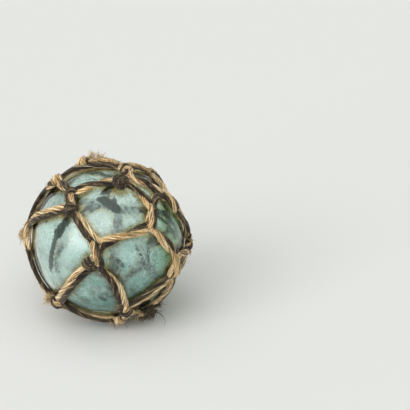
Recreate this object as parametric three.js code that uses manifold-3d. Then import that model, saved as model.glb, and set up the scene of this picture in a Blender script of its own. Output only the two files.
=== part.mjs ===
// A blown glass fishing float held in a net that is knotted from two-strand cord.
// Millimetres, +Z up, the front faces -Y, and the origin is on the floor under the middle.

import * as THREE from "three";
import { mergeVertices } from "three/addons/utils/BufferGeometryUtils.js";
import Module from "manifold-3d";

const wasm = await Module();
wasm.setup();

// Glass
const GLASS_RADIUS = 51;
const GLASS_AROUND = 24; // facets round the ball
const GLASS_UP = 12; // facets from pole to pole
const SEAL_RADIUS = 10; // the button of glass that closes the blow hole
const SEAL_RISE = 1.6;
const SEAL_ROOT = 3; // how deep its solid runs into the ball
const SEAL_SIDES = 14;
const SEAL_AT = [-158, -26];

// Cord: two strands laid side by side, with a slow twist
const STRAND_RADIUS = 2.05;
const STRAND_OFFSET = 1.3; // strand centre from cord centre
const STRAND_FLATNESS = 0.8; // the cord is pressed flat against the ball
const CORD_LIFT = 2; // cord centre over its bed
const CORD_GAP = 0.7; // underside of a cord over the glass
const TWIST_PITCH = 40; // length of one full turn of the strands
const CORD_STEP = 9.8; // length of one facet along a cord

// Knots: each is a lump round the short stretch where two cords cross through each other
const KNOT_HALF_WIDTH = 4.7;
const KNOT_HALF_HEIGHT = 3.6;
const KNOT_LIFT = 3; // knot centre over the glass
const KNOT_GAP = 0.45; // underside of a knot over the glass
const KNOT_GROOVE = 0.12;
const KNOT_SIDES = 8;
const KNOT_RINGS = 5;
const KNOT_END = 4.4; // a knot's lump runs on past the place where its cords part
const CORD_INSET = 2.6; // and a cord starts this far out from that place

// Floor: the lowest knots are worn flat, so that the float doesn't roll
const FLOOR_DEPTH = 54.3; // from the ball's centre

// Knots on the ball as [longitude, latitude, length, heading]: longitude 0 faces -Y and 90
// faces +X, the length is in millimetres, and the heading is that of the knot's length,
// in degrees from north towards east.
const KNOTS = {
  crown: [25, 69, 5, 90],
  closing: [74, 76, 6, 40],
  browLeft: [-95, 50, 5, 10],
  brow: [-42, 50, 11, -28],
  browRight: [40, 35, 13, 37],
  shoulderRight: [74, 37, 10, -12],
  left: [-90, 6, 12, -27],
  front: [-8, 15, 12, 5],
  right: [54, -6, 14, 7],
  farRight: [86, -3, 8, 55],
  footLeft: [-55, -38, 8, 50],
  foot: [14, -37, 8, -25],
  toe: [11, -58, 7, 90],
  footRight: [48, -51, 12, 45],
  backCrown: [-145, 62, 6, 0],
  backShoulder: [178, 30, 10, 10],
  backShoulderRight: [128, 42, 10, -20],
  backLeft: [-135, 20, 10, 10],
  backRight: [122, 0, 10, 0],
  backMiddle: [178, 2, 15, 58],
  backHip: [-144, -10, 10, -39],
  backHipLeft: [-118, -36, 10, -39],
  backHipRight: [98, -40, 9, 0],
  backFoot: [175, -48, 9, 0],
  backFootRight: [144, -34, 9, 15],
};

// The ring that gathers the net under the ball, and the knots spaced round it
const RING_KNOTS = 4;
const RING_LATITUDE = -71;
const RING_START = 20;
const RING_KNOT_LENGTH = 7;
for (let i = 0; i < RING_KNOTS; i++)
  KNOTS["ring" + i] = [
    RING_START + (360 * i) / RING_KNOTS,
    RING_LATITUDE,
    RING_KNOT_LENGTH,
    90,
  ];

// Cords as [from, to, ...places that the cord passes on its way]
const CORDS = [
  ["crown", "brow"],
  ["crown", "closing"],
  ["crown", "browRight", [42, 57]],
  ["closing", "browLeft", [-105, 80], [-104, 62]],
  ["closing", "shoulderRight", [58, 66], [66, 56]],
  ["closing", "backCrown", [160, 79]],
  ["closing", "backShoulderRight"],
  ["browLeft", "brow"],
  ["browLeft", "left", [-106, 33]],
  ["browLeft", "backLeft"],
  ["brow", "left", [-60, 35]],
  ["brow", "front"],
  ["browRight", "front", [14, 27]],
  ["browRight", "shoulderRight", [59, 46]],
  ["browRight", "right"],
  ["front", "footLeft", [-21, -1]],
  ["front", "foot", [4, -8]],
  ["shoulderRight", "farRight"],
  ["shoulderRight", "backShoulderRight"],
  ["right", "farRight"],
  ["right", "foot", [37, -19]],
  ["right", "footRight", [58, -28]],
  ["left", "footLeft", [-78, -20]],
  ["left", "backLeft"],
  ["left", "backHipLeft"],
  ["footLeft", "toe"],
  ["footLeft", "backHipLeft"],
  ["footLeft", "ring3"],
  ["foot", "toe"],
  ["foot", "footRight"],
  ["toe", "ring0"],
  ["footRight", "toe"],
  ["footRight", "backHipRight"],
  ["footRight", "ring1"],
  ["farRight", "backRight"],
  ["farRight", "backHipRight"],
  ["backCrown", "backShoulder"],
  ["backCrown", "backLeft"],
  ["backShoulderRight", "backShoulder"],
  ["backShoulderRight", "backRight"],
  ["backShoulder", "backMiddle"],
  ["backLeft", "backMiddle"],
  ["backLeft", "backHip"],
  ["backRight", "backMiddle"],
  ["backRight", "backFootRight"],
  ["backMiddle", "backFoot"],
  ["backHip", "backMiddle"],
  ["backHip", "backHipLeft"],
  ["backHipLeft", "ring3"],
  ["backHipRight", "backFootRight"],
  ["backHipRight", "ring1"],
  ["backFootRight", "ring2"],
  ["backFoot", "ring2"],
  ["backFoot", "backHipLeft"],
];
for (let i = 0; i < RING_KNOTS; i++)
  CORDS.push(["ring" + i, "ring" + ((i + 1) % RING_KNOTS)]);

// Frayed ends that stand out of a knot, as [knot, heading, length]
const TAIL_STEPS = 3;
const TAIL_TAPER = 0.5;
const TAILS = [
  ["backCrown", -60, 13],
  ["footLeft", -100, 11],
  ["footRight", 75, 12],
  ["toe", 165, 8],
];

const UP = new THREE.Vector3(0, 0, 1);

// The unit vector to a longitude and latitude in degrees.
function direction([longitude, latitude]) {
  const lon = THREE.MathUtils.degToRad(longitude);
  const lat = THREE.MathUtils.degToRad(latitude);
  return new THREE.Vector3(
    Math.cos(lat) * Math.sin(lon),
    -Math.cos(lat) * Math.cos(lon),
    Math.sin(lat),
  );
}

// The unit vector reached by walking a length over the ball from a place on a heading.
function walk(from, heading, length) {
  const east = new THREE.Vector3().crossVectors(UP, from).normalize();
  const north = new THREE.Vector3().crossVectors(from, east);
  const turn = THREE.MathUtils.degToRad(heading);
  const way = north
    .multiplyScalar(Math.cos(turn))
    .addScaledVector(east, Math.sin(turn));
  const angle = length / GLASS_RADIUS;
  return from
    .clone()
    .multiplyScalar(Math.cos(angle))
    .addScaledVector(way, Math.sin(angle));
}

// The cord's section: the outline of two round strands side by side.
function cordSection() {
  const facing = [-62, 0, 62].map(THREE.MathUtils.degToRad);
  const outline = [1, -1].flatMap((side) =>
    facing.map(
      (angle) =>
        new THREE.Vector2(
          side * (STRAND_OFFSET + STRAND_RADIUS * Math.cos(angle)),
          side * STRAND_RADIUS * Math.sin(angle),
        ),
    ),
  );
  return new THREE.Shape(outline);
}
const SECTION = cordSection();

// A closed tube of cord laid on the ball along unit vectors. width(t) scales its section
// and turns(t) gives the twist of its strands, for t from 0 to 1 along it.
function cord(places, { steps, width, turns, lift, gap }) {
  const route = new THREE.CatmullRomCurve3(places, false, "centripetal");
  const geometry = new THREE.ExtrudeGeometry(SECTION, {
    depth: 1,
    steps,
    bevelEnabled: false,
  });
  const position = geometry.getAttribute("position");
  const point = new THREE.Vector3();
  for (let i = 0; i < position.count; i++) {
    const t = THREE.MathUtils.clamp(position.getZ(i), 0, 1);
    const out = route.getPointAt(t).normalize();
    const along = route.getTangentAt(t);
    const side = new THREE.Vector3().crossVectors(out, along).normalize();
    const section = new THREE.Vector2(position.getX(i), position.getY(i))
      .rotateAround(new THREE.Vector2(), 2 * Math.PI * turns(t))
      .multiplyScalar(width(t));
    point
      .copy(out)
      .multiplyScalar(GLASS_RADIUS + gap + lift + STRAND_FLATNESS * section.y)
      .addScaledVector(side, section.x);
    if (point.length() < GLASS_RADIUS + gap) point.setLength(GLASS_RADIUS + gap);
    position.setXYZ(i, point.x, point.y, point.z);
  }
  return geometry;
}

function solid(geometry) {
  const bare = geometry.clone();
  bare.deleteAttribute("normal");
  bare.deleteAttribute("uv");
  const merged = mergeVertices(bare, 1e-4);
  return new wasm.Manifold(
    new wasm.Mesh({
      numProp: 3,
      vertProperties: merged.getAttribute("position").array,
      triVerts: new Uint32Array(merged.index.array),
    }),
  );
}

function geometryOf(manifold) {
  const mesh = manifold.getMesh();
  return new THREE.BufferGeometry()
    .setAttribute("position", new THREE.BufferAttribute(mesh.vertProperties, 3))
    .setIndex(new THREE.BufferAttribute(mesh.triVerts, 1));
}

// The two ends of a knot.
function knotEnds(name) {
  const [longitude, latitude, length, heading] = KNOTS[name];
  const centre = direction([longitude, latitude]);
  return [length / 2, -length / 2].map((reach) => walk(centre, heading, reach));
}

// A knot is a lump round the stretch where its cords cross, grooved where they pass.
function knot(name) {
  const [longitude, latitude, length, heading] = KNOTS[name];
  const out = direction([longitude, latitude]);
  const along = walk(out, heading, 1).sub(out).normalize();
  const side = new THREE.Vector3().crossVectors(along, out).normalize();
  const lump = new THREE.SphereGeometry(1, KNOT_SIDES, KNOT_RINGS);
  const position = lump.getAttribute("position");
  const point = new THREE.Vector3();
  for (let i = 0; i < position.count; i++) {
    const t = position.getY(i);
    const groove = 1 - KNOT_GROOVE * Math.cos(Math.PI * t) * Math.abs(position.getX(i));
    point
      .copy(out)
      .multiplyScalar(GLASS_RADIUS + KNOT_LIFT + KNOT_HALF_HEIGHT * position.getZ(i))
      .addScaledVector(side, KNOT_HALF_WIDTH * groove * position.getX(i))
      .addScaledVector(along, (length / 2 + KNOT_END) * t);
    if (point.length() < GLASS_RADIUS + KNOT_GAP) point.setLength(GLASS_RADIUS + KNOT_GAP);
    position.setXYZ(i, point.x, point.y, point.z);
  }
  return lump;
}

function inset(end, next) {
  const share = CORD_INSET / (GLASS_RADIUS * end.distanceTo(next));
  return end.clone().lerp(next, share).normalize();
}

// A cord runs from the nearest end of one knot to the nearest end of the other.
function cordBetween(from, to, ...passing) {
  const stops = passing.map(direction);
  const nearest = (name, goal) =>
    knotEnds(name).sort((a, b) => a.distanceTo(goal) - b.distanceTo(goal))[0];
  const centre = (name) => direction(KNOTS[name]);
  const start = nearest(from, stops[0] ?? centre(to));
  const end = nearest(to, stops.at(-1) ?? centre(from));
  const places = [
    inset(start, stops[0] ?? end),
    ...stops,
    inset(end, stops.at(-1) ?? start),
  ];
  const length = new THREE.CatmullRomCurve3(places).getLength() * GLASS_RADIUS;
  return cord(places, {
    steps: Math.max(2, Math.round(length / CORD_STEP)),
    width: () => 1,
    turns: (t) => (t * length) / TWIST_PITCH,
    lift: CORD_LIFT,
    gap: CORD_GAP,
  });
}

function tail(name, heading, length) {
  const start = direction(KNOTS[name]);
  const places = [0, length / 2, length].map((reach) => walk(start, heading, reach));
  return cord(places, {
    steps: TAIL_STEPS,
    width: (t) => 1 - TAIL_TAPER * t,
    turns: (t) => (t * length) / TWIST_PITCH,
    lift: CORD_LIFT,
    gap: CORD_GAP,
  });
}

function makeGlass() {
  const ball = new THREE.SphereGeometry(GLASS_RADIUS, GLASS_AROUND, GLASS_UP);
  const button = new THREE.LatheGeometry(
    [
      new THREE.Vector2(0, -SEAL_ROOT),
      new THREE.Vector2(SEAL_RADIUS, -SEAL_ROOT),
      new THREE.Vector2(0.8 * SEAL_RADIUS, 0.1 * SEAL_RISE),
      new THREE.Vector2(0.4 * SEAL_RADIUS, 0.8 * SEAL_RISE),
      new THREE.Vector2(0, SEAL_RISE),
    ],
    SEAL_SIDES,
  );
  const out = direction(SEAL_AT);
  button.applyQuaternion(
    new THREE.Quaternion().setFromUnitVectors(new THREE.Vector3(0, 1, 0), out),
  );
  button.translate(...out.multiplyScalar(GLASS_RADIUS).toArray());
  return geometryOf(solid(ball).add(solid(button)));
}

function makeNet() {
  const pieces = [
    ...Object.keys(KNOTS).map(knot),
    ...CORDS.map((run) => cordBetween(...run)),
    ...TAILS.map((end) => tail(...end)),
  ];
  const net = pieces.map(solid).reduce((all, piece) => all.add(piece));
  const reach = 4 * GLASS_RADIUS;
  const ground = new THREE.BoxGeometry(reach, reach, reach);
  ground.translate(0, 0, -FLOOR_DEPTH - reach / 2);
  return geometryOf(net.subtract(solid(ground)));
}

function mesh(name, geometry, material) {
  const made = new THREE.Mesh(geometry, material);
  made.name = name;
  return made;
}

const float = new THREE.Group();
float.add(
  mesh(
    "glass_ball",
    makeGlass(),
    new THREE.MeshStandardMaterial({ color: 0xb4d2cb, roughness: 0.05, metalness: 0 }),
  ),
  mesh(
    "net",
    makeNet(),
    new THREE.MeshStandardMaterial({ color: 0x6e5738, roughness: 0.9, metalness: 0 }),
  ),
);

// Stand the float on the floor, with the middle of its outline over the origin.
const box = new THREE.Box3().setFromObject(float);
const centre = box.getCenter(new THREE.Vector3());
float.position.set(-centre.x, -centre.y, -box.min.z);

export default float;
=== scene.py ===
"""The looks of a blown glass fishing float in its rope net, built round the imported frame."""

import math

import bmesh
import bpy
import numpy as np
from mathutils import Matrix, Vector, kdtree, noise


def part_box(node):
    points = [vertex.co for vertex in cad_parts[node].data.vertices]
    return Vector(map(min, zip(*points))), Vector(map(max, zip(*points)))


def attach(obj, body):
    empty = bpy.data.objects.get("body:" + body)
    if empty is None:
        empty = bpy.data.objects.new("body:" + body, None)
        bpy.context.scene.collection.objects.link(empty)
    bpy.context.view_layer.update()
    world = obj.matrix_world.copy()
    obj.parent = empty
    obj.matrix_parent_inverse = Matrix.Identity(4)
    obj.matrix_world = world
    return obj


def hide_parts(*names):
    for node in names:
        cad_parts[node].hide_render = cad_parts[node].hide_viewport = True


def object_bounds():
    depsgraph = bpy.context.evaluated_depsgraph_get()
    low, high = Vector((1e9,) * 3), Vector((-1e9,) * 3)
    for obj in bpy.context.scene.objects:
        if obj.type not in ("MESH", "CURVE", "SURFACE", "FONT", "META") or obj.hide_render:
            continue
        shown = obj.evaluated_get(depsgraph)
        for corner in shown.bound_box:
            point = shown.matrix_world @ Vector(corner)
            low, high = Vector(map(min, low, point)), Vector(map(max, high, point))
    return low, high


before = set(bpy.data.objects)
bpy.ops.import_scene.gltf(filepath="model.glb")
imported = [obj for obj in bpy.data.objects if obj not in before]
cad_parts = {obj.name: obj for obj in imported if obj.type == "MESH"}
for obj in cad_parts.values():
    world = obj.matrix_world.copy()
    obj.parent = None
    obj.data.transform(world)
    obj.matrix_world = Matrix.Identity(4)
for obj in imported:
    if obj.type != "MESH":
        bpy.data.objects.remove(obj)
cad_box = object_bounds()

MM = 0.001
SEED = 11
rng = np.random.default_rng(SEED)

# ---------------------------------------------------------------- the frame's glass ball

ball_low, ball_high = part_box("glass_ball")
RADIUS = (ball_high.z - ball_low.z) / 2
CENTRE = np.array(
    [(ball_low.x + ball_high.x) / 2, ball_low.y + RADIUS, ball_low.z + RADIUS]
)
FLOOR = cad_box[0].z

# ---------------------------------------------------------------- the net, as in the CAD

# Knots as [longitude, latitude, length, heading]: longitude 0 faces -Y and 90 faces +X,
# the length is in millimetres, and the heading goes from north towards east.
KNOTS = {
    "crown": [25, 69, 5, 90],
    "closing": [74, 76, 6, 40],
    "browLeft": [-95, 50, 5, 10],
    "brow": [-42, 50, 11, -28],
    "browRight": [40, 35, 13, 37],
    "shoulderRight": [74, 37, 10, -12],
    "left": [-90, 6, 12, -27],
    "front": [-8, 15, 12, 5],
    "right": [54, -6, 14, 7],
    "farRight": [86, -3, 8, 55],
    "footLeft": [-55, -38, 8, 50],
    "foot": [14, -37, 8, -25],
    "toe": [11, -58, 7, 90],
    "footRight": [48, -51, 12, 45],
    "backCrown": [-145, 62, 6, 0],
    "backShoulder": [178, 30, 10, 10],
    "backShoulderRight": [128, 42, 10, -20],
    "backLeft": [-135, 20, 10, 10],
    "backRight": [122, 0, 10, 0],
    "backMiddle": [178, 2, 15, 58],
    "backHip": [-144, -10, 10, -39],
    "backHipLeft": [-118, -36, 10, -39],
    "backHipRight": [98, -40, 9, 0],
    "backFoot": [175, -48, 9, 0],
    "backFootRight": [144, -34, 9, 15],
}
RING_KNOTS = 4
for i in range(RING_KNOTS):
    KNOTS[f"ring{i}"] = [20 + 360 * i / RING_KNOTS, -71, 7, 90]

# Cords as [from, to, ...places that the cord passes on its way]
CORDS = [
    ["crown", "brow"],
    ["crown", "closing"],
    ["crown", "browRight", [42, 57]],
    ["closing", "browLeft", [-105, 80], [-104, 62]],
    ["closing", "shoulderRight", [58, 66], [66, 56]],
    ["closing", "backCrown", [160, 79]],
    ["closing", "backShoulderRight"],
    ["browLeft", "brow"],
    ["browLeft", "left", [-106, 33]],
    ["browLeft", "backLeft"],
    ["brow", "left", [-60, 35]],
    ["brow", "front"],
    ["browRight", "front", [14, 27]],
    ["browRight", "shoulderRight", [59, 46]],
    ["browRight", "right"],
    ["front", "footLeft", [-21, -1]],
    ["front", "foot", [4, -8]],
    ["shoulderRight", "farRight"],
    ["shoulderRight", "backShoulderRight"],
    ["right", "farRight"],
    ["right", "foot", [37, -19]],
    ["right", "footRight", [58, -28]],
    ["left", "footLeft", [-78, -20]],
    ["left", "backLeft"],
    ["left", "backHipLeft"],
    ["footLeft", "toe"],
    ["footLeft", "backHipLeft"],
    ["footLeft", "ring3"],
    ["foot", "toe"],
    ["foot", "footRight"],
    ["toe", "ring0"],
    ["footRight", "toe"],
    ["footRight", "backHipRight"],
    ["footRight", "ring1"],
    ["farRight", "backRight"],
    ["farRight", "backHipRight"],
    ["backCrown", "backShoulder"],
    ["backCrown", "backLeft"],
    ["backShoulderRight", "backShoulder"],
    ["backShoulderRight", "backRight"],
    ["backShoulder", "backMiddle"],
    ["backLeft", "backMiddle"],
    ["backLeft", "backHip"],
    ["backRight", "backMiddle"],
    ["backRight", "backFootRight"],
    ["backMiddle", "backFoot"],
    ["backHip", "backMiddle"],
    ["backHip", "backHipLeft"],
    ["backHipLeft", "ring3"],
    ["backHipRight", "backFootRight"],
    ["backHipRight", "ring1"],
    ["backFootRight", "ring2"],
    ["backFoot", "ring2"],
    ["backFoot", "backHipLeft"],
]
for i in range(RING_KNOTS):
    CORDS.append([f"ring{i}", f"ring{(i + 1) % RING_KNOTS}"])

SEAL_AT = [-158, -26]
SEAL_RADIUS = 10 * MM
SEAL_RISE = 1.6 * MM

# How the two strands of a cord in sight lie: [start, turns]. The start is the dark strand's
# place in degrees: 0 on the left hand of one who walks the cord, 90 on top, 180 on the
# right hand and 270 beneath. The turns are those that the pair makes over the cord.
TWISTS = {
    ("crown", "brow"): [0, 0.5],
    ("crown", "closing"): [0, 0.1],
    ("crown", "browRight"): [185, -0.5],
    ("closing", "browLeft"): [55, 0.03],
    ("closing", "shoulderRight"): [-90, 1.0],
    ("closing", "backCrown"): [-100, 0.1],
    ("browLeft", "brow"): [40, 0.1],
    ("browLeft", "left"): [40, 0.06],
    ("browLeft", "backLeft"): [90, 0.1],
    ("brow", "left"): [-15, 0.12],
    ("brow", "front"): [100, 0.2],
    ("browRight", "front"): [175, 0.5],
    ("browRight", "shoulderRight"): [90, 0.1],
    ("browRight", "right"): [-85, 0.42],
    ("front", "footLeft"): [-10, 0.12],
    ("front", "foot"): [85, 0.32],
    ("shoulderRight", "farRight"): [200, -0.33],
    ("right", "farRight"): [-90, 0.1],
    ("right", "foot"): [200, -0.1],
    ("right", "footRight"): [-20, 0.15],
    ("left", "footLeft"): [50, -0.3],
    ("footLeft", "toe"): [20, 0.22],
    ("foot", "toe"): [-90, 0.1],
    ("foot", "footRight"): [80, 0.1],
    ("footRight", "toe"): [180, 0.1],
}

# Rope sizes
STRAND_WIDTH = 1.62 * MM  # half the width of a strand
STRAND_HEIGHT = 1.3 * MM  # half its height
TWIST_SIDE = 1.62 * MM  # how far a strand swings to either side of its cord
TWIST_RISE = 0.8 * MM  # and how far up and down
CORD_GAP = 0.05 * MM  # strand over the glass
TWIST_PITCH = 42 * MM  # the tightest, of a cord that isn't in TWISTS
LAY_PITCH = 30 * MM  # of the fibres in a strand
RING_STEP = 0.9 * MM  # between two rings of a strand's mesh
STRAND_SIDES = 20


# ---------------------------------------------------------------- directions on the ball


def unit(v):
    v = np.asarray(v, float)
    return v / np.linalg.norm(v, axis=-1, keepdims=True)


def direction(place):
    """The unit vector to a longitude and latitude in degrees."""
    lon, lat = math.radians(place[0]), math.radians(place[1])
    return np.array(
        [
            math.cos(lat) * math.sin(lon),
            -math.cos(lat) * math.cos(lon),
            math.sin(lat),
        ]
    )


def way_of(start, heading):
    """The unit vector of a heading at a place on the ball."""
    east = unit(np.cross([0, 0, 1], start))
    north = np.cross(start, east)
    turn = math.radians(heading)
    return north * math.cos(turn) + east * math.sin(turn)


def walk(start, heading, length):
    """The place reached by walking a length in millimetres over the ball."""
    angle = length * MM / RADIUS
    return start * math.cos(angle) + way_of(start, heading) * math.sin(angle)


def knot_ends(name):
    """The places where a knot starts and ends."""
    longitude, latitude, length, heading = KNOTS[name]
    middle = direction([longitude, latitude])
    return [walk(middle, heading, length / 2), walk(middle, heading, -length / 2)]


def smooth_route(places, step):
    """Unit vectors along a smooth line through the places, one every step on the glass."""
    p = np.array(places)
    p = np.vstack([2 * p[0] - p[1], p, 2 * p[-1] - p[-2]])
    line = []
    for a, b, c, d in zip(p, p[1:], p[2:], p[3:]):
        for t in np.linspace(0, 1, 40, endpoint=False):
            line.append(
                b
                + 0.5 * t * (c - a)
                + t**2 * (a - 2.5 * b + 2 * c - 0.5 * d)
                + t**3 * (-0.5 * a + 1.5 * b - 1.5 * c + 0.5 * d)
            )
    line = unit(np.array(line + [p[-2]]))
    gone = length_along(line)
    count = max(6, int(gone[-1] * RADIUS / step))
    at = np.linspace(0, gone[-1], count)
    return unit(np.stack([np.interp(at, gone, line[:, k]) for k in range(3)], 1))


def cord_route(start, end, *passing):
    """A cord runs from the nearest end of one knot to the nearest end of the other."""
    stops = [direction(place) for place in passing]

    def nearest(name, goal):
        return min(knot_ends(name), key=lambda place: np.linalg.norm(place - goal))

    first = nearest(start, stops[0] if stops else direction(KNOTS[end]))
    last = nearest(end, stops[-1] if stops else direction(KNOTS[start]))
    return smooth_route([first, *stops, last], RING_STEP)


def wander(count, spacing, size):
    """A smooth random line of count numbers, with a new turn every spacing numbers."""
    knots = max(3, int(count / spacing) + 3)
    values = rng.normal(0, size, knots)
    x = np.linspace(0, knots - 2.001, count)
    i = x.astype(int)
    t = x - i
    t = t * t * (3 - 2 * t)
    return values[i] * (1 - t) + values[i + 1] * t


def length_along(points):
    """How far each point of a line is from its start."""
    steps = np.linalg.norm(np.diff(points, axis=0), axis=1)
    return np.concatenate([[0], np.cumsum(steps)])


# ---------------------------------------------------------------- meshes from tubes


def add_object(mesh, material):
    """Puts a mesh in the scene, as an object of the mesh's own name."""
    mesh.materials.append(material)
    made = bpy.data.objects.new(mesh.name, mesh)
    bpy.context.scene.collection.objects.link(made)
    return made


class Surface:
    """Gathers closed tubes into one mesh, with a tone (on strands also painted groove shade)
    and a place along for each vertex.
    """

    def __init__(self):
        self.points, self.faces, self.tones, self.coords = [], [], [], []
        self.total = 0

    def tube(self, rings, tones, coords):
        """rings is (count, sides, 3). Both ends close on a point."""
        count, sides = rings.shape[:2]
        ends = np.array([rings[0].mean(0), rings[-1].mean(0)])
        self.points += [rings.reshape(-1, 3), ends]
        self.tones += [tones.reshape(-1), [tones[0].mean(), tones[-1].mean()]]
        self.coords += [coords.reshape(-1, 3), coords[[0, -1], 0]]
        i = np.arange(count - 1)[:, None] * sides
        j = np.arange(sides)[None, :]
        k = (j + 1) % sides
        a, b, c, d = i + j, i + k, i + sides + k, i + sides + j
        wall = [np.stack(t, -1).reshape(-1, 3) for t in ((a, b, c), (a, c, d))]
        j, k = np.arange(sides), (np.arange(sides) + 1) % sides
        first = np.full(sides, count * sides)
        top = (count - 1) * sides
        cap = [np.stack([first, k, j], 1), np.stack([first + 1, top + j, top + k], 1)]
        self.faces.append(np.vstack(wall + cap) + self.total)
        self.total += count * sides + 2

    def make(self, name, material):
        points = np.vstack(self.points)
        faces = np.vstack(self.faces)
        mesh = bpy.data.meshes.new(name)
        mesh.vertices.add(len(points))
        mesh.vertices.foreach_set("co", points.astype(np.float32).ravel())
        mesh.loops.add(faces.size)
        mesh.loops.foreach_set("vertex_index", faces.astype(np.int32).ravel())
        mesh.polygons.add(len(faces))
        mesh.polygons.foreach_set(
            "loop_start", np.arange(0, faces.size, 3, dtype=np.int32)
        )
        mesh.update(calc_edges=True)
        tone = mesh.attributes.new("tone", "FLOAT", "POINT")
        tone.data.foreach_set("value", np.concatenate(self.tones).astype(np.float32))
        coord = mesh.attributes.new("lay", "FLOAT_VECTOR", "POINT")
        coord.data.foreach_set(
            "vector", np.vstack(self.coords).astype(np.float32).ravel()
        )
        mesh.shade_smooth()
        return add_object(mesh, material)


strands = {"dark": Surface(), "straw": Surface()}
fibres = {"dark": Surface(), "straw": Surface()}
laid = []  # every strand laid so far, for its fibres


def lay_strand(colour, centres, outs, width, height, shag=1.0):
    """One strand along centres, pressed oval: width lies on the ball, height stands out."""
    count = len(centres)
    along = unit(np.gradient(centres, axis=0))
    side = unit(np.cross(outs, along))
    out = np.cross(along, side)
    gone = length_along(centres)
    lay = 2 * math.pi * gone / LAY_PITCH
    angle = -math.pi / 2 + 2 * math.pi * np.arange(STRAND_SIDES) / STRAND_SIDES
    turned = angle[None, :] - lay[:, None]
    ridge = np.zeros_like(turned)
    for lobes in range(2, 10):
        phase = rng.uniform(0, 2 * math.pi) + wander(count, 9, 0.9)
        ridge += rng.normal(0, 0.055) * np.cos(lobes * turned + phase[:, None])
    swell = 1 + wander(count, 9, 0.09)
    scale = (swell[:, None] + ridge)[..., None]
    ends = np.minimum(1, np.minimum(gone, gone[-1] - gone) / (1.2 * MM) + 0.35)
    scale = scale * np.sqrt(ends)[:, None, None]
    wide = np.broadcast_to(width, count)[:, None] * np.cos(angle)
    high = np.broadcast_to(height, count)[:, None] * np.sin(angle)
    rings = centres[:, None] + scale * (
        side[:, None] * wide[..., None] + out[:, None] * high[..., None]
    )
    rings[..., 2] = np.maximum(rings[..., 2], FLOOR)
    # The ridges make the colour lighter and the grooves darker: painted highlight and painted
    # shade of the relief, over the strand's own wandering tone.
    tones = 0.5 + 2.4 * ridge + wander(count, 12, 0.09)[:, None]
    start = rng.uniform(0, 50)
    coords = np.stack(
        [
            np.broadcast_to(gone[:, None] / MM + start, turned.shape),
            np.broadcast_to(angle * 1.6, turned.shape) - lay[:, None] * 1.6,
            np.full(turned.shape, start),
        ],
        -1,
    )
    strands[colour].tube(rings, tones, coords)
    laid.append(
        dict(
            colour=colour,
            centres=centres,
            side=side,
            out=out,
            lay=lay,
            gone=gone,
            width=np.broadcast_to(width, count),
            height=np.broadcast_to(height, count),
            shag=shag,
        )
    )


def lay_fibre(colour, points, thickness, tone):
    """One fibre: a thin three-sided tube that tapers to both ends."""
    count = len(points)
    along = unit(np.gradient(points, axis=0))
    across = unit(np.cross(along, points - CENTRE))
    over = np.cross(across, along)
    taper = thickness * np.sqrt(np.sin(np.linspace(0.12, math.pi - 0.12, count)))
    angle = 2 * math.pi * np.arange(3) / 3 + rng.uniform(0, 2)
    rings = points[:, None] + taper[:, None, None] * (
        across[:, None] * np.cos(angle)[:, None] + over[:, None] * np.sin(angle)[:, None]
    )
    coords = np.full((count, 3, 3), rng.uniform(0, 60))
    coords[..., 0] += np.linspace(0, 8, count)[:, None]
    fibres[colour].tube(rings, np.full((count, 3), tone), coords)


# ---------------------------------------------------------------- the rope


def cord_heights(phase, height):
    """How far from CENTRE a strand's centre is at a phase of the twist."""
    climb = 2 * TWIST_RISE * (0.5 + 0.5 * np.sin(phase)) ** 2.2
    return RADIUS + CORD_GAP + height + climb


def lay_cord(names, route):
    """Two strands, one of each colour, laid along a route with a slow twist."""
    count = len(route)
    side = unit(np.cross(route, unit(np.gradient(route, axis=0))))
    length = count * RING_STEP
    start, turns = TWISTS.get(
        names,
        [rng.uniform(0, 360), rng.choice([-1, 1]) * length / TWIST_PITCH * rng.uniform(0.6, 1)],
    )
    t = np.linspace(0, 1, count)
    phase = math.radians(start) + 2 * math.pi * turns * t**2 * (3 - 2 * t)
    phase = phase + wander(count, 14, 0.16)
    ease = np.sin(np.linspace(0, math.pi, count)) ** 0.5
    drift = wander(count, 16, 0.25 * MM) * ease
    for turn, colour in ((0, "dark"), (math.pi, "straw")):
        at = phase + turn
        swing = (TWIST_SIDE * np.cos(at) + drift)[:, None]
        pressed = 0.5 + 0.5 * np.sin(at)
        width = STRAND_WIDTH * (0.96 + 0.2 * pressed)
        height = STRAND_HEIGHT * (1.08 - 0.16 * pressed)
        centres = CENTRE + route * cord_heights(at, height)[:, None] + side * swing
        lay_strand(colour, centres, route, width, height)


def lay_bundle(name, turns, start):
    """A long knot: the four strands of two cords twist round each other."""
    longitude, latitude, length, heading = KNOTS[name]
    middle = direction([longitude, latitude])
    reach = length / 2 + 2.4
    route = smooth_route(
        [walk(middle, heading, -reach), middle, walk(middle, heading, reach)],
        RING_STEP / 1.5,
    )
    count = len(route)
    t = np.linspace(-1, 1, count)
    side = unit(np.cross(route, unit(np.gradient(route, axis=0))))
    first = rng.uniform(0, math.pi / 2) if start is None else math.radians(start)
    for k, colour in enumerate(["straw", "dark", "straw", "dark"]):
        at = first + k * math.pi / 2 + math.pi * turns * t + wander(count, 12, 0.1)
        swing = (2.35 + 0.6 * t**2) * MM * np.cos(at)
        rise = CORD_GAP + STRAND_HEIGHT + 1.4 * MM * (1 + np.sin(at)) - 0.7 * MM * t**2
        rise = np.maximum(rise, CORD_GAP + STRAND_HEIGHT)
        centres = CENTRE + route * (RADIUS + rise)[:, None] + side * swing[:, None]
        lay_strand(
            colour, centres, route, STRAND_WIDTH * 0.96, STRAND_HEIGHT * 0.95, shag=1.5
        )


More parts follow.
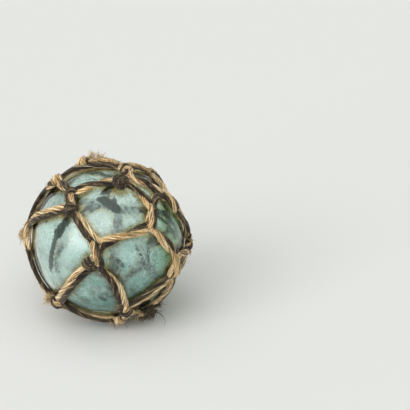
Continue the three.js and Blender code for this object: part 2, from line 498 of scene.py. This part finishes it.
def lay_crossing(name, over, under, lean=1, width=3.0, height=2.6, reach=2.4):
    """A long knot where one pair of strands crosses over the other pair.

    The pair on top starts on the left hand of the knot's heading where lean is 1.
    """
    longitude, latitude, length, heading = KNOTS[name]
    middle = direction([longitude, latitude])
    half = length / 2 + reach
    route = smooth_route(
        [walk(middle, heading, half * k) for k in (-1, 0, 1)], RING_STEP / 1.5
    )
    count = len(route)
    t = np.linspace(-1, 1, count)
    side = unit(np.cross(route, unit(np.gradient(route, axis=0))))
    taper = 0.4 + 0.6 * np.minimum(1, (1 - np.abs(t)) / 0.3)
    for pair, sign, top in ((over, lean, 1), (under, -lean, 0)):
        for k, colour in enumerate(pair):
            apart = (k - 0.5) * 2.5
            cross = sign * width * np.sin(-t * math.pi / 2) * 0.9
            swing = (cross + apart) * MM + wander(count, 10, 0.12 * MM)
            rise = CORD_GAP + STRAND_HEIGHT + top * height * MM * (1 - t**4)
            rise = rise + (1 - top) * 0.35 * MM * (1 - t**2)
            centres = CENTRE + route * (RADIUS + rise)[:, None] + side * swing[:, None]
            lay_strand(
                colour, centres, route, STRAND_WIDTH * taper, STRAND_HEIGHT * taper, 1.6
            )


def lay_turn(place, heading, offset, span, lift, colour, thick, shag=1.0):
    """One turn of strand over a knot. It runs on the heading, its offset to the right."""
    count = len(lift)
    t = np.linspace(-1, 1, count)
    base = walk(place, heading + 90, offset)
    centres = CENTRE + base * RADIUS + way_of(place, heading) * (span * MM * t)[:, None]
    away = unit(centres - CENTRE)
    centres = CENTRE + away * (RADIUS + (lift + thick * 0.8) * MM)[:, None]
    lay_strand(colour, centres, away, thick * MM, thick * 0.85 * MM, shag)


def lay_wraps(
    name, colours, along=0.0, aside=0.0, slant=78, spacing=1.9, span=4.0, height=4.3
):
    """Turns of strand side by side over a knot.

    They lie along and aside of its middle, in mm, on its heading and to its left.
    """
    longitude, latitude, _, heading = KNOTS[name]
    place = walk(direction([longitude, latitude]), heading, along)
    place = walk(place, heading - 90, aside)
    t = np.linspace(-1, 1, 20)
    for k, colour in enumerate(colours):
        offset = (k - (len(colours) - 1) / 2) * spacing
        low = 0.13 * offset**2
        lift = 0.5 + (height - low) * (1 - np.abs(t) ** 2.4)
        tilt = heading + slant + rng.uniform(-12, 12)
        lay_turn(place, tilt, offset, span - low * 0.5, lift, colour, 1.25, shag=1.6)


def lay_woven_knob(name, size=4.9, rows=5):
    """The round crown knot: turns of dark strand that pass over and under each other."""
    place = walk(direction(KNOTS[name]), 180, 2.5)
    t = np.linspace(-1, 1, 30)
    spacing = 2 * size / (rows + 0.6)
    for heading, over in ((25, 1), (115, -1)):
        for k in range(rows):
            offset = (k - (rows - 1) / 2) * spacing
            span = math.sqrt(size**2 - offset**2) * 1.04
            fall = 0.92 * (span * t / size) ** 2 + 0.75 * (offset / size) ** 2
            dome = 5.6 * np.sqrt(np.maximum(0, 1 - fall))
            weave = 0.5 * over * (-1) ** k * np.cos(math.pi * (span * t / spacing + 0.5))
            lay_turn(place, heading, offset, span, 0.2 + dome + weave, "dark", 0.95, shag=0.3)


# ---------------------------------------------------------------- loose fibre


FIBRES_PER_MM = {"straw": 0.82, "dark": 0.75}  # they lie on a strand
HAIRS_PER_MM = {"straw": 0.34, "dark": 0.2}  # they stand off it
HAIR_PIECES = 5


def add_strand_fibres():
    """Fibres that lie on each strand and follow its lay, and some that stand off it."""
    for s in laid:
        count = len(s["centres"])
        straw = s["colour"] == "straw"
        number = int(s["gone"][-1] / MM * FIBRES_PER_MM[s["colour"]] * s["shag"])
        for _ in range(number):
            length = min(count - 1, int(rng.uniform(8, 26)))  # in rings of the strand
            if length < 5:
                continue
            first = rng.integers(0, count - length)
            pick = np.linspace(first, first + length, 6).astype(int)
            angle = (
                rng.uniform(-0.35, math.pi + 0.35)
                + (s["lay"][pick] - s["lay"][first]) * rng.uniform(0.4, 1.2)
            )
            t = np.linspace(-1, 1, len(pick))
            loose = rng.exponential(0.16) if straw else rng.exponential(0.09)
            stand = 1.03 + rng.uniform(0, 0.08) + min(loose, 0.9) * t**4
            points = (
                s["centres"][pick]
                + s["side"][pick] * (s["width"][pick] * stand * np.cos(angle))[:, None]
                + s["out"][pick] * (s["height"][pick] * stand * np.sin(angle))[:, None]
            )
            thickness = rng.uniform(0.12, 0.36 if straw else 0.26) * MM
            tone = np.clip(rng.normal(0.6, 0.3), 0.0, 1.0)
            stray = rng.random() < (0.05 if straw else 0.14)
            colour = {"straw": "dark", "dark": "straw"}[s["colour"]] if stray else s["colour"]
            lay_fibre(colour, keep_off(points), thickness * (0.6 if stray else 1), tone)


def keep_off(points, gap=0.25 * MM):
    """Moves points that are inside the glass or under the floor out of it."""
    away = points - CENTRE
    far = np.linalg.norm(away, axis=1, keepdims=True)
    points = CENTRE + away / far * np.maximum(far, RADIUS + gap)
    points[:, 2] = np.maximum(points[:, 2], FLOOR + 0.15 * MM)
    return points


def hair(start, way, length, colour, thickness, curl=0.35, tone=0.6):
    """A free hair that leaves start along way and curls."""
    line = [start]
    spin = rng.normal(0, curl, 3)
    heading = unit(way)
    for _ in range(HAIR_PIECES):
        heading = unit(heading + np.cross(spin, heading) + rng.normal(0, 0.06, 3))
        line.append(line[-1] + heading * (length / HAIR_PIECES))
    lay_fibre(colour, keep_off(np.array(line)), thickness, tone)


def add_stray_hairs():
    """Short hairs that stand off the rope all round the net."""
    for s in laid:
        count = len(s["centres"])
        number = int(s["gone"][-1] / MM * HAIRS_PER_MM[s["colour"]] * s["shag"])
        for _ in range(number):
            i = rng.integers(1, count - 1)
            angle = rng.uniform(-0.2, math.pi + 0.2)
            out = s["side"][i] * math.cos(angle) + s["out"][i] * math.sin(angle)
            root = s["centres"][i] + 0.9 * (
                s["side"][i] * s["width"][i] * math.cos(angle)
                + s["out"][i] * s["height"][i] * math.sin(angle)
            )
            along = unit(s["centres"][i + 1] - s["centres"][i - 1])
            way = along * rng.choice([-1, 1]) * rng.uniform(0.6, 1.6) + out
            length = min(rng.exponential(1.8) + 1.2, 6.5) * MM
            hair(root, way, length, s["colour"], rng.uniform(0.07, 0.13) * MM)


def tuft(place, heading, length, spread, number, colour, lift=2.2, root=1.4, rise=0.05):
    """A frayed end: fibres that fan out from a place on a heading, and rise off the ball."""
    base = CENTRE + place * (RADIUS + lift * MM)
    ahead = way_of(place, heading)
    aside = np.cross(place, ahead)
    for _ in range(number):
        start = base + (
            aside * rng.normal(0, root * 0.6) + place * rng.normal(0, root * 0.45)
        ) * MM
        way = ahead + aside * rng.normal(0, spread) + place * rng.normal(rise, spread * 0.6)
        reach = length * rng.uniform(0.55, 1.1) * MM
        thickness = rng.uniform(0.09, 0.2) * MM
        tone = rng.uniform(0.35, 1.0)
        hair(start - ahead * MM, way, reach, colour, thickness, 0.16, tone)


def curled_hair(name, heading, lean, length, bend):
    """A long hair that leaves a knot on a heading, leans outwards and curls by bend."""
    place = direction(KNOTS[name])
    way = way_of(place, heading) * math.cos(math.radians(lean))
    way = way + place * math.sin(math.radians(lean))
    axis = unit(np.cross(way, place) + 0.6 * place)
    count = 16
    line = [CENTRE + place * (RADIUS + 3 * MM) + way * 3 * MM]
    for i in range(count - 1):
        angle = math.radians(bend) * (0.4 + 1.2 * i / count) / count
        way = unit(way * math.cos(angle) + np.cross(axis, way) * math.sin(angle))
        line.append(line[-1] + way * length * MM / count)
    lay_fibre("dark", keep_off(np.array(line)), 0.16 * MM, 0.35)


def fuzz(name, number, reach, colour, along=0.0, aside=0.0, spread=3.0, lift=3.0):
    """Short fibres that stand off a knot in every direction."""
    longitude, latitude, _, heading = KNOTS[name]
    place = walk(direction([longitude, latitude]), heading, along)
    place = walk(place, heading - 90, aside)
    middle = CENTRE + place * (RADIUS + lift * MM)
    for _ in range(number):
        off = rng.normal(size=3)
        off = unit(off + 0.5 * place)
        start = middle + off * spread * MM * rng.uniform(0.6, 1.0)
        way = unit(off + rng.normal(0, 0.7, 3))
        thickness = rng.uniform(0.1, 0.22) * MM
        length = reach * rng.uniform(0.4, 1.0) * MM
        tone = rng.uniform(0.4, 1.0)
        hair(start, way, length, colour, thickness, 0.3, tone)


def lay_tail(name, heading, length, colour, thick=1.3, lift=0.0):
    """A loose strand end that leaves a knot."""
    start = direction(KNOTS[name])
    route = smooth_route(
        [start, walk(start, heading, length / 2), walk(start, heading, length)],
        RING_STEP / 1.5,
    )
    rise = np.linspace(2.4 + lift, 1.6 + lift, len(route)) * MM
    centres = CENTRE + route * (RADIUS + rise)[:, None]
    lay_strand(colour, centres, route, thick * MM, thick * 0.8 * MM, shag=2.0)


# ---------------------------------------------------------------- the glass


def ripple(at, scale, size):
    """The gentle unevenness of the blown wall in a direction."""
    return size * (
        noise.noise(Vector(at) * scale) + 0.5 * noise.noise(Vector(at) * scale * 2.3)
    )


def add_sphere(bm, divisions, radius_at, inwards):
    """A fine ball round CENTRE, its radius set by direction. Its faces may turn inwards."""
    made = bmesh.ops.create_icosphere(bm, subdivisions=divisions, radius=1)["verts"]
    for v in made:
        away = v.co.normalized()
        v.co = Vector(CENTRE) + away * radius_at(away)
    if inwards:
        bmesh.ops.reverse_faces(bm, faces=list({f for v in made for f in v.link_faces}))
    return made


WALL = 3.4 * MM
FILM_GAP = 0.08 * MM  # between the wall and the film inside it
SEED_BUBBLES = 260
STAIN_REACH = 6.4 * MM  # from the middle of a strand to where its stain ends
STAIN_FADE = 3.6 * MM  # the outer part of that, where it grows weaker


def outer_radius(away):
    """The radius of the outer face in a direction, with the seal button."""
    seal = Vector(direction(SEAL_AT))
    across = away.angle(seal) * RADIUS / SEAL_RADIUS
    button = 0.0
    if across < 1:
        button = SEAL_RISE * (0.55 + 0.45 * math.cos(across * math.pi * 1.35))
        button *= min(1, (1 - across) * 5)
    return RADIUS - 0.25 * MM + ripple(away, 2.4, 0.14 * MM) + button


def inner_radius(away):
    return RADIUS - WALL + ripple(away + Vector((3, 1, 2)), 1.7, 0.3 * MM)


def mesh_from(bm, name):
    mesh = bpy.data.meshes.new(name)
    bm.to_mesh(mesh)
    bm.free()
    mesh.shade_smooth()
    return mesh


def make_glass(material):
    """The hollow ball, with seed bubbles in its wall."""
    bm = bmesh.new()
    add_sphere(bm, 7, outer_radius, False)
    add_sphere(bm, 6, inner_radius, True)
    for _ in range(SEED_BUBBLES):
        away = Vector(unit(rng.normal(size=3)))
        size = min(0.16 + rng.exponential(0.14), 0.7) * MM
        depth = rng.uniform(0.6 * MM + size, WALL - 0.6 * MM - size)
        place = Vector(CENTRE) + away * (RADIUS - depth)
        seed = bmesh.ops.create_icosphere(bm, subdivisions=2, radius=size)["verts"]
        stretch = rng.uniform(0.8, 1.5)
        for v in seed:
            v.co.z *= stretch
            v.co += place
        bmesh.ops.reverse_faces(
            bm, faces=list({f for v in seed for f in v.link_faces})
        )
    mesh = mesh_from(bm, "glass_ball_shell")
    mark_stain(mesh)
    return add_object(mesh, material)


# Inside the old glass: [amount, reach in mm, places]. The film is white, a painted reflection,
# and thin or wiped away where the amount is negative. The marks are dark and green.
PAINTED_REFLECTION_ZONES = [
    [0.62, 9, [-31, 30], [-27, 12], [-36, -12]],
    [0.52, 8, [-60, 30], [-57, 12], [-58, -4]],
    [0.12, 8, [-17, 40], [-4, 33]],
    [0.60, 8, [-82, 46], [-60, 47]],
    [0.52, 9, [12, 22], [20, 13]],
    [0.34, 8, [16, 46], [28, 36]],
    [0.35, 8, [-22, -16], [-10, -22]],
    [0.22, 9, [30, -8], [22, -22]],
    [0.30, 9, [-45, 64], [-20, 62]],
    [-0.40, 3, [-30, 70], [0, 66]],
    [-0.40, 12, [60, 30], [62, 10]],
    [-0.6, 7, [-148, -3], [-118, -37]],
    [-0.6, 7, [-169, 8], [172, -6]],
]
# Dark green marks in the film: [amount, reach in mm, places].
DARK_MARKS = [
    [1.6, 4.6, [-41, 35], [-45, 26]],
    [1.5, 3.2, [-46, 24], [-48, 14], [-49, 4], [-50, -6]],
    [1.5, 2.7, [-11, 57], [-4, 57]],
    [2.1, 3.6, [-2, 55], [4, 52], [11, 48]],
    [1.0, 1.8, [9, 60], [11, 55]],
    [1.0, 2.4, [22, 18], [25, 10], [27, 2]],
    [0.9, 1.8, [32, 15], [31, 4]],
    [1.4, 3.0, [-7, -24], [-5, -27]],
    [1.0, 3.2, [6, 9], [11, 4]],
    [0.8, 4.4, [38, 12], [37, -2]],
    [1.2, 2.2, [52, 34], [60, 24], [64, 10]],
    [1.4, 2.8, [62, 34], [68, 22], [71, 6]],
    [0.9, 3.0, [-60, 73], [0, 74]],
]


def amount_at(away, zones, soft):
    """The sum of the zones' amounts in a direction. A soft zone fades over more of itself."""
    total = 0.0
    for amount, reach, *places in zones:
        line = [direction(place) for place in places]
        nearest = 9.0
        for a, b in zip(line, line[1:]):
            t = np.clip(np.dot(away - a, b - a) / np.dot(b - a, b - a), 0, 1)
            nearest = min(nearest, np.linalg.norm(unit(a + (b - a) * t) - away))
        inside = 1.35 - nearest * RADIUS / (reach * MM)
        total += amount * min(1, max(0, inside / soft))
    return total


def make_painted_reflection_film(material):
    """The film inside the old glass, with how much painted reflection and dark marks each place
    has.
    """
    bm = bmesh.new()
    add_sphere(bm, 6, lambda away: inner_radius(away) - FILM_GAP, False)
    mesh = mesh_from(bm, "glass_ball_painted_reflection_film")
    away = [unit(np.array(v.co) - CENTRE) for v in mesh.vertices]
    for name, zones, least, soft in (("painted_reflection_film", PAINTED_REFLECTION_ZONES, 0.22, 0.5), ("dark_marks", DARK_MARKS, 0, 1.1)):
        layer = mesh.attributes.new(name, "FLOAT", "POINT")
        layer.data.foreach_set("value", [least + amount_at(v, zones, soft) for v in away])
    return add_object(mesh, material)


def mark_stain(mesh):
    """How near each place on the glass is to a cord, where the rope has stained it."""
    spots = np.vstack([s["centres"][::3] for s in laid])
    tree = kdtree.KDTree(len(spots))
    for i, spot in enumerate(spots):
        tree.insert(spot, i)
    tree.balance()
    stain = mesh.attributes.new("stain", "FLOAT", "POINT")
    values = []
    for v in mesh.vertices:
        depth = RADIUS - (v.co - Vector(CENTRE)).length
        if depth > 1.2 * MM:  # not on the outer face
            values.append(0.0)
            continue
        far = tree.find(v.co)[2]
        values.append(max(0.0, min(1.0, (STAIN_REACH - far) / STAIN_FADE)))
    stain.data.foreach_set("value", values)


# ---------------------------------------------------------------- materials


def give(tree, socket, value):
    """Sets a socket to a number, vector or colour, or links it to a node's output."""
    if isinstance(value, bpy.types.NodeSocket):
        tree.links.new(value, socket)
    else:
        socket.default_value = value


def node(tree, kind, *values, **settings):
    """A new node. Its settings and sockets go by name, values to its sockets in order."""
    made = tree.nodes.new("ShaderNode" + kind)
    for key, value in settings.items():
        if key in made.inputs:
            give(tree, made.inputs[key], value)
        else:
            setattr(made, key, value)
    for socket, value in zip(made.inputs, values):
        give(tree, socket, value)
    return made


def maths(tree, operation, *values, clamp=False):
    return node(tree, "Math", *values, operation=operation, use_clamp=clamp).outputs[0]


def vector_maths(tree, operation, *values):
    """A vector, or a number where the operation is a dot product."""
    made = node(tree, "VectorMath", *values, operation=operation)
    return made.outputs["Value" if operation == "DOT_PRODUCT" else "Vector"]


def cloud(tree, scale, detail, roughness, **settings):
    settings.update(Scale=scale, Detail=detail, Roughness=roughness)
    return node(tree, "TexNoise", **settings).outputs["Fac"]


def fade(tree, value, low, high, at_low=0.0, at_high=1.0, kind="SMOOTHSTEP"):
    """What value comes to when low turns into at_low and high into at_high."""
    made = node(tree, "MapRange", value, low, high, at_low, at_high, interpolation_type=kind)
    return made.outputs["Result"]


def mix(tree, factor, first, second):
    made = node(tree, "Mix", data_type="RGBA", Factor=factor, A=first, B=second)
    return made.outputs["Result"]


def attribute(tree, name, output="Fac"):
    return node(tree, "Attribute", attribute_name=name).outputs[output]


def colour_ramp(tree, value, stops):
    ramp = node(tree, "ValToRGB", value)
    elements = ramp.color_ramp.elements
    while len(elements) < len(stops):
        elements.new(0.5)
    for element, (position, colour) in zip(elements, stops):
        element.position = position
        element.color = (*colour, 1)
    return ramp.outputs["Color"]


def new_material(name):
    material = bpy.data.materials.new(name)
    material.use_nodes = True
    tree = material.node_tree
    return material, tree, tree.nodes["Principled BSDF"]


def rope_material(name, stops, sheen):
    """Coarse fibre: streaks that run with the strand's lay, with painted shade in its grooves
    and a painted highlight on its ridges.
    """
    material, tree, shader = new_material(name)
    lay = attribute(tree, "lay", "Vector")
    stretched = node(tree, "Mapping", Vector=lay, Scale=(0.16, 2.6, 1.0)).outputs[0]
    streaks = cloud(tree, 1.0, 4.0, 0.6, Vector=stretched)
    # The streaks set both the bump and the colour, so the colour darkens where the bump dips,
    # and the strand's tone adds its groove darkening: painted groove shade and ridge highlight,
    # over the fibres' own streaky colour.
    spread = maths(tree, "MULTIPLY_ADD", streaks, 1.9, -0.95)
    worn = maths(tree, "MULTIPLY_ADD", cloud(tree, 110.0, 3.0, 0.6), 0.7, -0.35)
    total = maths(tree, "ADD", attribute(tree, "tone"), spread)
    total = maths(tree, "ADD", total, worn, clamp=True)
    give(tree, shader.inputs["Base Color"], colour_ramp(tree, total, stops))
    bump = node(tree, "Bump", Height=streaks, Strength=0.7, Distance=0.25 * MM)
    give(tree, shader.inputs["Normal"], bump.outputs["Normal"])
    shader.inputs["Roughness"].default_value = 0.85
    shader.inputs["Specular IOR Level"].default_value = 0.25
    shader.inputs["Sheen Weight"].default_value = sheen
    return material


def glass_material():
    """Clear aqua glass, specked, and stained beside the cords, with painted shade deepening it
    at the foot and a painted green reflection at the right.
    """
    material, tree, shader = new_material("clear_glass")
    broad = cloud(tree, 70.0, 3.0, 0.6)

    # aqua, deeper towards the foot and a little to the right with painted shade, then a painted
    # green reflection at the right
    place = node(tree, "NewGeometry").outputs["Position"]
    low = vector_maths(tree, "DOT_PRODUCT", place, (0.3, 0.0, -1.0))
    # partly painted shade of the shadowed floor seen through the foot, partly the deeper tint
    # of thicker glass there
    foot_tint_and_shade = fade(tree, low, 4 * MM - CENTRE[2], 44 * MM - CENTRE[2])
    colour = mix(tree, foot_tint_and_shade, (0.90, 0.985, 0.965, 1), (0.50, 0.90, 0.88, 1))
    right = node(tree, "SeparateXYZ", place).outputs["X"]
    # painted reflection of green surroundings, and their shade, on the right side
    painted_green_reflection = fade(tree, right, 26 * MM, 44 * MM, 0.0, 0.8)
    colour = mix(tree, painted_green_reflection, colour, (0.42, 0.62, 0.46, 1))

    # dark specks
    specks = fade(tree, cloud(tree, 330.0, 5.0, 0.7), 0.64, 0.72, 0.0, 0.55, "LINEAR")
    colour = mix(tree, specks, colour, (0.16, 0.22, 0.17, 1))

    # the stain breaks up as it leaves the cord
    stain = attribute(tree, "stain")
    edge = maths(tree, "ADD", maths(tree, "MULTIPLY_ADD", broad, 1.5, -0.75), stain)
    present = maths(tree, "GREATER_THAN", stain, 0.02)
    strength = maths(tree, "MULTIPLY", fade(tree, edge, 0.12, 1.0), present, clamp=True)
    colour = mix(tree, strength, colour, (0.48, 0.31, 0.10, 1))
    give(tree, shader.inputs["Base Color"], colour)

    # weathered unevenly
    dull = fade(tree, broad, 0.35, 0.75, 0.02, 0.08, "LINEAR")
    give(tree, shader.inputs["Roughness"], dull)
    shader.inputs["Transmission Weight"].default_value = 1.0
    shader.inputs["IOR"].default_value = 1.5
    absorb = node(tree, "VolumeAbsorption", Color=(0.45, 0.8, 0.55, 1), Density=26.0)
    give(tree, tree.nodes["Material Output"].inputs["Volume"], absorb.outputs[0])
    return material


def painted_reflection_film_material():
    """A thin pale film, patchy and see-through, that paints reflections, with ragged dark green
    marks in it.
    """
    material, tree, shader = new_material("glass_painted_reflection_film")
    broken = maths(tree, "MULTIPLY_ADD", cloud(tree, 22.0, 9.0, 0.7), 2.6, -1.27)
    painted_reflection_amount = maths(tree, "ADD", broken, attribute(tree, "painted_reflection_film"))
    pale = fade(tree, painted_reflection_amount, 0.0, 1.0, 0.03, 0.72)

    dark_marks = attribute(tree, "dark_marks")
    grain = cloud(tree, 60.0, 8.0, 0.75)
    mark_edge = maths(tree, "ADD", maths(tree, "MULTIPLY_ADD", grain, 7.0, -3.5), dark_marks)
    dark = fade(tree, maths(tree, "MULTIPLY", mark_edge, dark_marks), 0.3, 1.2, 0.0, 0.97)
    greens = colour_ramp(tree, grain, DARK_MARK_STOPS)

    give(tree, shader.inputs["Alpha"], maths(tree, "MAXIMUM", pale, dark))
    give(tree, shader.inputs["Base Color"], mix(tree, dark, (0.87, 0.95, 0.97, 1), greens))
    shader.inputs["Roughness"].default_value = 0.9
    shader.inputs["Specular IOR Level"].default_value = 0.1
    return material


def floor_material():
    material, tree, shader = new_material("floor_paper")
    grain = node(tree, "TexNoise", Scale=3.0, Detail=2.0).outputs["Fac"]
    paper = colour_ramp(tree, grain, [(0.3, (0.80, 0.80, 0.795)), (0.7, (0.83, 0.83, 0.825))])
    give(tree, shader.inputs["Base Color"], paper)
    shader.inputs["Roughness"].default_value = 0.9
    shader.inputs["Specular IOR Level"].default_value = 0.1
    return material


# These two rope ramps run from groove to ridge: their low ends are painted shade and their high
# ends a painted highlight, round the rope's own colour.
STRAW_STOPS = [
    (0.0, (0.055, 0.026, 0.008)),
    (0.28, (0.22, 0.12, 0.038)),
    (0.5, (0.50, 0.32, 0.13)),
    (0.75, (0.78, 0.57, 0.30)),
    (1.0, (0.97, 0.84, 0.58)),
]
DARK_STOPS = [
    (0.0, (0.005, 0.003, 0.002)),
    (0.4, (0.018, 0.012, 0.007)),
    (0.7, (0.045, 0.032, 0.018)),
    (0.88, (0.11, 0.078, 0.042)),
    (1.0, (0.28, 0.20, 0.11)),
]
DARK_MARK_STOPS = [
    (0.45, (0.003, 0.012, 0.006)),
    (0.56, (0.01, 0.03, 0.017)),
    (0.7, (0.2, 0.26, 0.2)),
]


# ---------------------------------------------------------------- studio


def make_camera():
    """Looks down on the float from the front, with the float left of the middle."""
    elevation = math.radians(25)
    distance = 0.93
    back = Vector((0, -math.cos(elevation), math.sin(elevation)))
    up = Vector((0, math.sin(elevation), math.cos(elevation)))
    centre = Vector(CENTRE)
    data = bpy.data.cameras.new("camera")
    data.sensor_width = 36
    data.lens = 122.0
    data.clip_start, data.clip_end = 0.05, 20
    camera = bpy.data.objects.new("camera", data)
    camera.location = centre + back * distance
    aim = centre + Vector((1, 0, 0)) * 65.5 * MM + up * 21.1 * MM
    camera.rotation_mode = "QUATERNION"
    camera.rotation_quaternion = (aim - camera.location).to_track_quat("-Z", "Y")
    bpy.context.scene.collection.objects.link(camera)
    bpy.context.scene.camera = camera


def make_floor():
    mesh = bpy.data.meshes.new("floor")
    half = 30.0  # metres, so that its edge lies near the horizon
    corners = [(-half, -half), (half, -half), (half, half), (-half, half)]
    mesh.from_pydata([(x, y, FLOOR) for x, y in corners], [], [(0, 1, 2, 3)])
    floor = add_object(mesh, floor_material())


def add_panel(tree, ray, towards, half_width, half_height, brightness):
    """A bright rectangle of sky towards a direction, half sizes as slopes from its middle."""
    middle = Vector(towards).normalized()
    across = Vector((0, 0, 1)).cross(middle).normalized()
    ahead, aside, above = (
        vector_maths(tree, "DOT_PRODUCT", ray, axis)
        for axis in (middle, across, middle.cross(across))
    )
    light = maths(tree, "GREATER_THAN", ahead, 0.05)
    for part, half in ((aside, half_width), (above, half_height)):
        slope = maths(tree, "ABSOLUTE", maths(tree, "DIVIDE", part, ahead))
        light = maths(tree, "MULTIPLY", light, fade(tree, slope, half * 1.5, half * 0.5))
    return maths(tree, "MULTIPLY", light, brightness)


PANELS = [  # direction, half width, half height, brightness
    [(-0.66, -0.60, 0.46), 0.36, 0.40, 3.3],
    [(0.02, -0.82, 0.57), 0.30, 0.36, 1.7],
    [(-0.05, -0.15, 1.0), 0.85, 0.6, 0.72],
]


def make_world():
    """A studio: a dim room, greener to the right, a pale horizon and bright panels."""
    world = bpy.data.worlds.new("studio")
    bpy.context.scene.world = world
    world.use_nodes = True
    tree = world.node_tree
    ray = node(tree, "TexCoord").outputs["Generated"]
    side = vector_maths(tree, "DOT_PRODUCT", ray, (0.8, 0.6, 0.0))
    side = maths(tree, "MULTIPLY_ADD", side, 0.5, 0.5)
    light = colour_ramp(tree, side, [(0.3, (0.47, 0.47, 0.46)), (0.95, (0.24, 0.28, 0.22))])
    height = node(tree, "SeparateXYZ", ray).outputs["Z"]
    light = vector_maths(tree, "ADD", light, fade(tree, height, 0.16, 0.02, 0.0, 0.5))
    for panel in PANELS:
        light = vector_maths(tree, "ADD", light, add_panel(tree, ray, *panel))
    background = tree.nodes["Background"]
    give(tree, background.inputs["Color"], light)
    background.inputs["Strength"].default_value = 1.0


# ---------------------------------------------------------------- build it

make_camera()
make_floor()
make_world()
bpy.context.scene.view_settings.view_transform = "Standard"

for names in CORDS:
    lay_cord(tuple(names[:2]), cord_route(*names))

BUNDLES = {  # knots that lie in sight: [turns, start]
    "shoulderRight": [0.5, 70],
    "foot": [0.5, 45],
}
CROSSINGS = {  # knots in sight where one pair lies over the other
    "brow": dict(over=("straw", "dark"), under=("dark", "straw"), lean=-1, width=1.6),
    "browRight": dict(over=("dark", "straw"), under=("dark", "straw"), lean=-1, width=1.2),
    "left": dict(over=("straw", "dark"), under=("straw", "dark"), width=3.2, reach=4.0),
    "front": dict(over=("dark", "straw"), under=("dark", "straw"), lean=-1, width=2.9),
    "right": dict(over=("straw", "straw"), under=("dark", "straw"), lean=-1, width=3.4),
}
for name, (_, _, length, _) in KNOTS.items():
    if name in CROSSINGS:
        lay_crossing(name, **CROSSINGS[name])
    elif name != "crown":
        turns, start = BUNDLES.get(name, [0.45 if length > 8 else 0.7, None])
        lay_bundle(name, turns, start)
lay_woven_knob("crown")
lay_wraps("closing", ["straw", "dark", "straw"], height=3.8)
lay_wraps("browLeft", ["straw", "straw", "straw"], along=4.2, aside=-2.0, span=4.2)
lay_wraps("brow", ["dark", "dark"], along=4.8, span=3.4, height=3.9)
lay_wraps("brow", ["dark", "dark", "dark"], along=-6.6, aside=-0.8, span=4.2, height=4.3)
lay_wraps("front", ["dark", "dark", "dark"], -6.2, 4.6, slant=-50, span=3.4, height=3.7)
lay_wraps("foot", ["dark", "dark", "dark"], span=3.8, height=4.0)
lay_wraps("footLeft", ["dark", "dark", "dark"], span=4.0, height=4.2)
lay_wraps("footRight", ["dark", "dark", "dark", "dark", "dark"], height=3.6)
lay_wraps("toe", ["straw", "straw"], slant=60, span=5.4, height=3.4)
lay_wraps("backCrown", ["straw", "straw"])
lay_wraps("farRight", ["dark", "dark"], height=3.0)

lay_tail("backCrown", -60, 11, "straw", lift=0.4)
lay_tail("footLeft", -100, 9, "straw")
lay_tail("footRight", 75, 11, "dark")
lay_tail("toe", 165, 9, "straw", thick=1.7, lift=1.6)

add_strand_fibres()
add_stray_hairs()
tuft(walk(direction(KNOTS["backCrown"]), -60, 3), -60, 9, 0.45, 200, "straw", 3.0, 2.2, 0.1)
tuft(walk(direction(KNOTS["backCrown"]), -60, 9), -60, 8, 0.5, 120, "straw", 2.6, 2.2, 0.1)
fuzz("backCrown", 160, 3.5, "straw", lift=3.0)
tuft(walk(direction(KNOTS["footLeft"]), -45, 4), -80, 7, 0.5, 170, "straw", 3.2, 2.4, 0.6)
tuft(walk(direction(KNOTS["footRight"]), 75, 6), 75, 7, 0.7, 120, "dark")
tuft(walk(direction(KNOTS["toe"]), 165, 6), 165, 4, 0.5, 80, "straw", lift=3.4)
fuzz("browLeft", 240, 2.6, "straw", along=4.2, aside=-2.0)
fuzz("left", 200, 4.0, "straw", spread=3.6, lift=4.0)
fuzz("footRight", 420, 4.5, "dark", spread=4.6, lift=3.4)
fuzz("footRight", 200, 4.0, "dark", along=-5, spread=3.6, lift=3.4)
fuzz("footRight", 60, 4.0, "straw", along=-6)
for heading, lean, length, bend in (
    (60, 40, 17, 150),
    (95, 20, 13, -170),
    (120, 10, 15, 160),
    (20, 45, 9, -90),
    (150, 5, 10, 120),
):
    curled_hair("footRight", heading, lean, length, bend)
for heading, lean, length, bend in ((-150, 15, 9, 130), (170, 10, 11, -150), (140, 20, 8, 90)):
    curled_hair("toe", heading, lean, length, bend)

straw = rope_material("rope_straw", STRAW_STOPS, 0.25)
dark = rope_material("rope_dark", DARK_STOPS, 0.15)
materials = {"dark": dark, "straw": straw}
for colour, material in materials.items():
    for pieces, kind in ((strands, "strands"), (fibres, "fibres")):
        piece = pieces[colour].make(f"net_{colour}_{kind}", material)
        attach(piece, "root")
        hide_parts("net")
        print(piece.name, len(piece.data.polygons), "triangles")

glass = make_glass(glass_material())
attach(glass, "root")
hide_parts("glass_ball")
print(glass.name, len(glass.data.polygons), "triangles")
# The pale film paints whitish reflections inside the glass.
painted_reflection_film = make_painted_reflection_film(painted_reflection_film_material())
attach(painted_reflection_film, "root")
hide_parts("glass_ball")
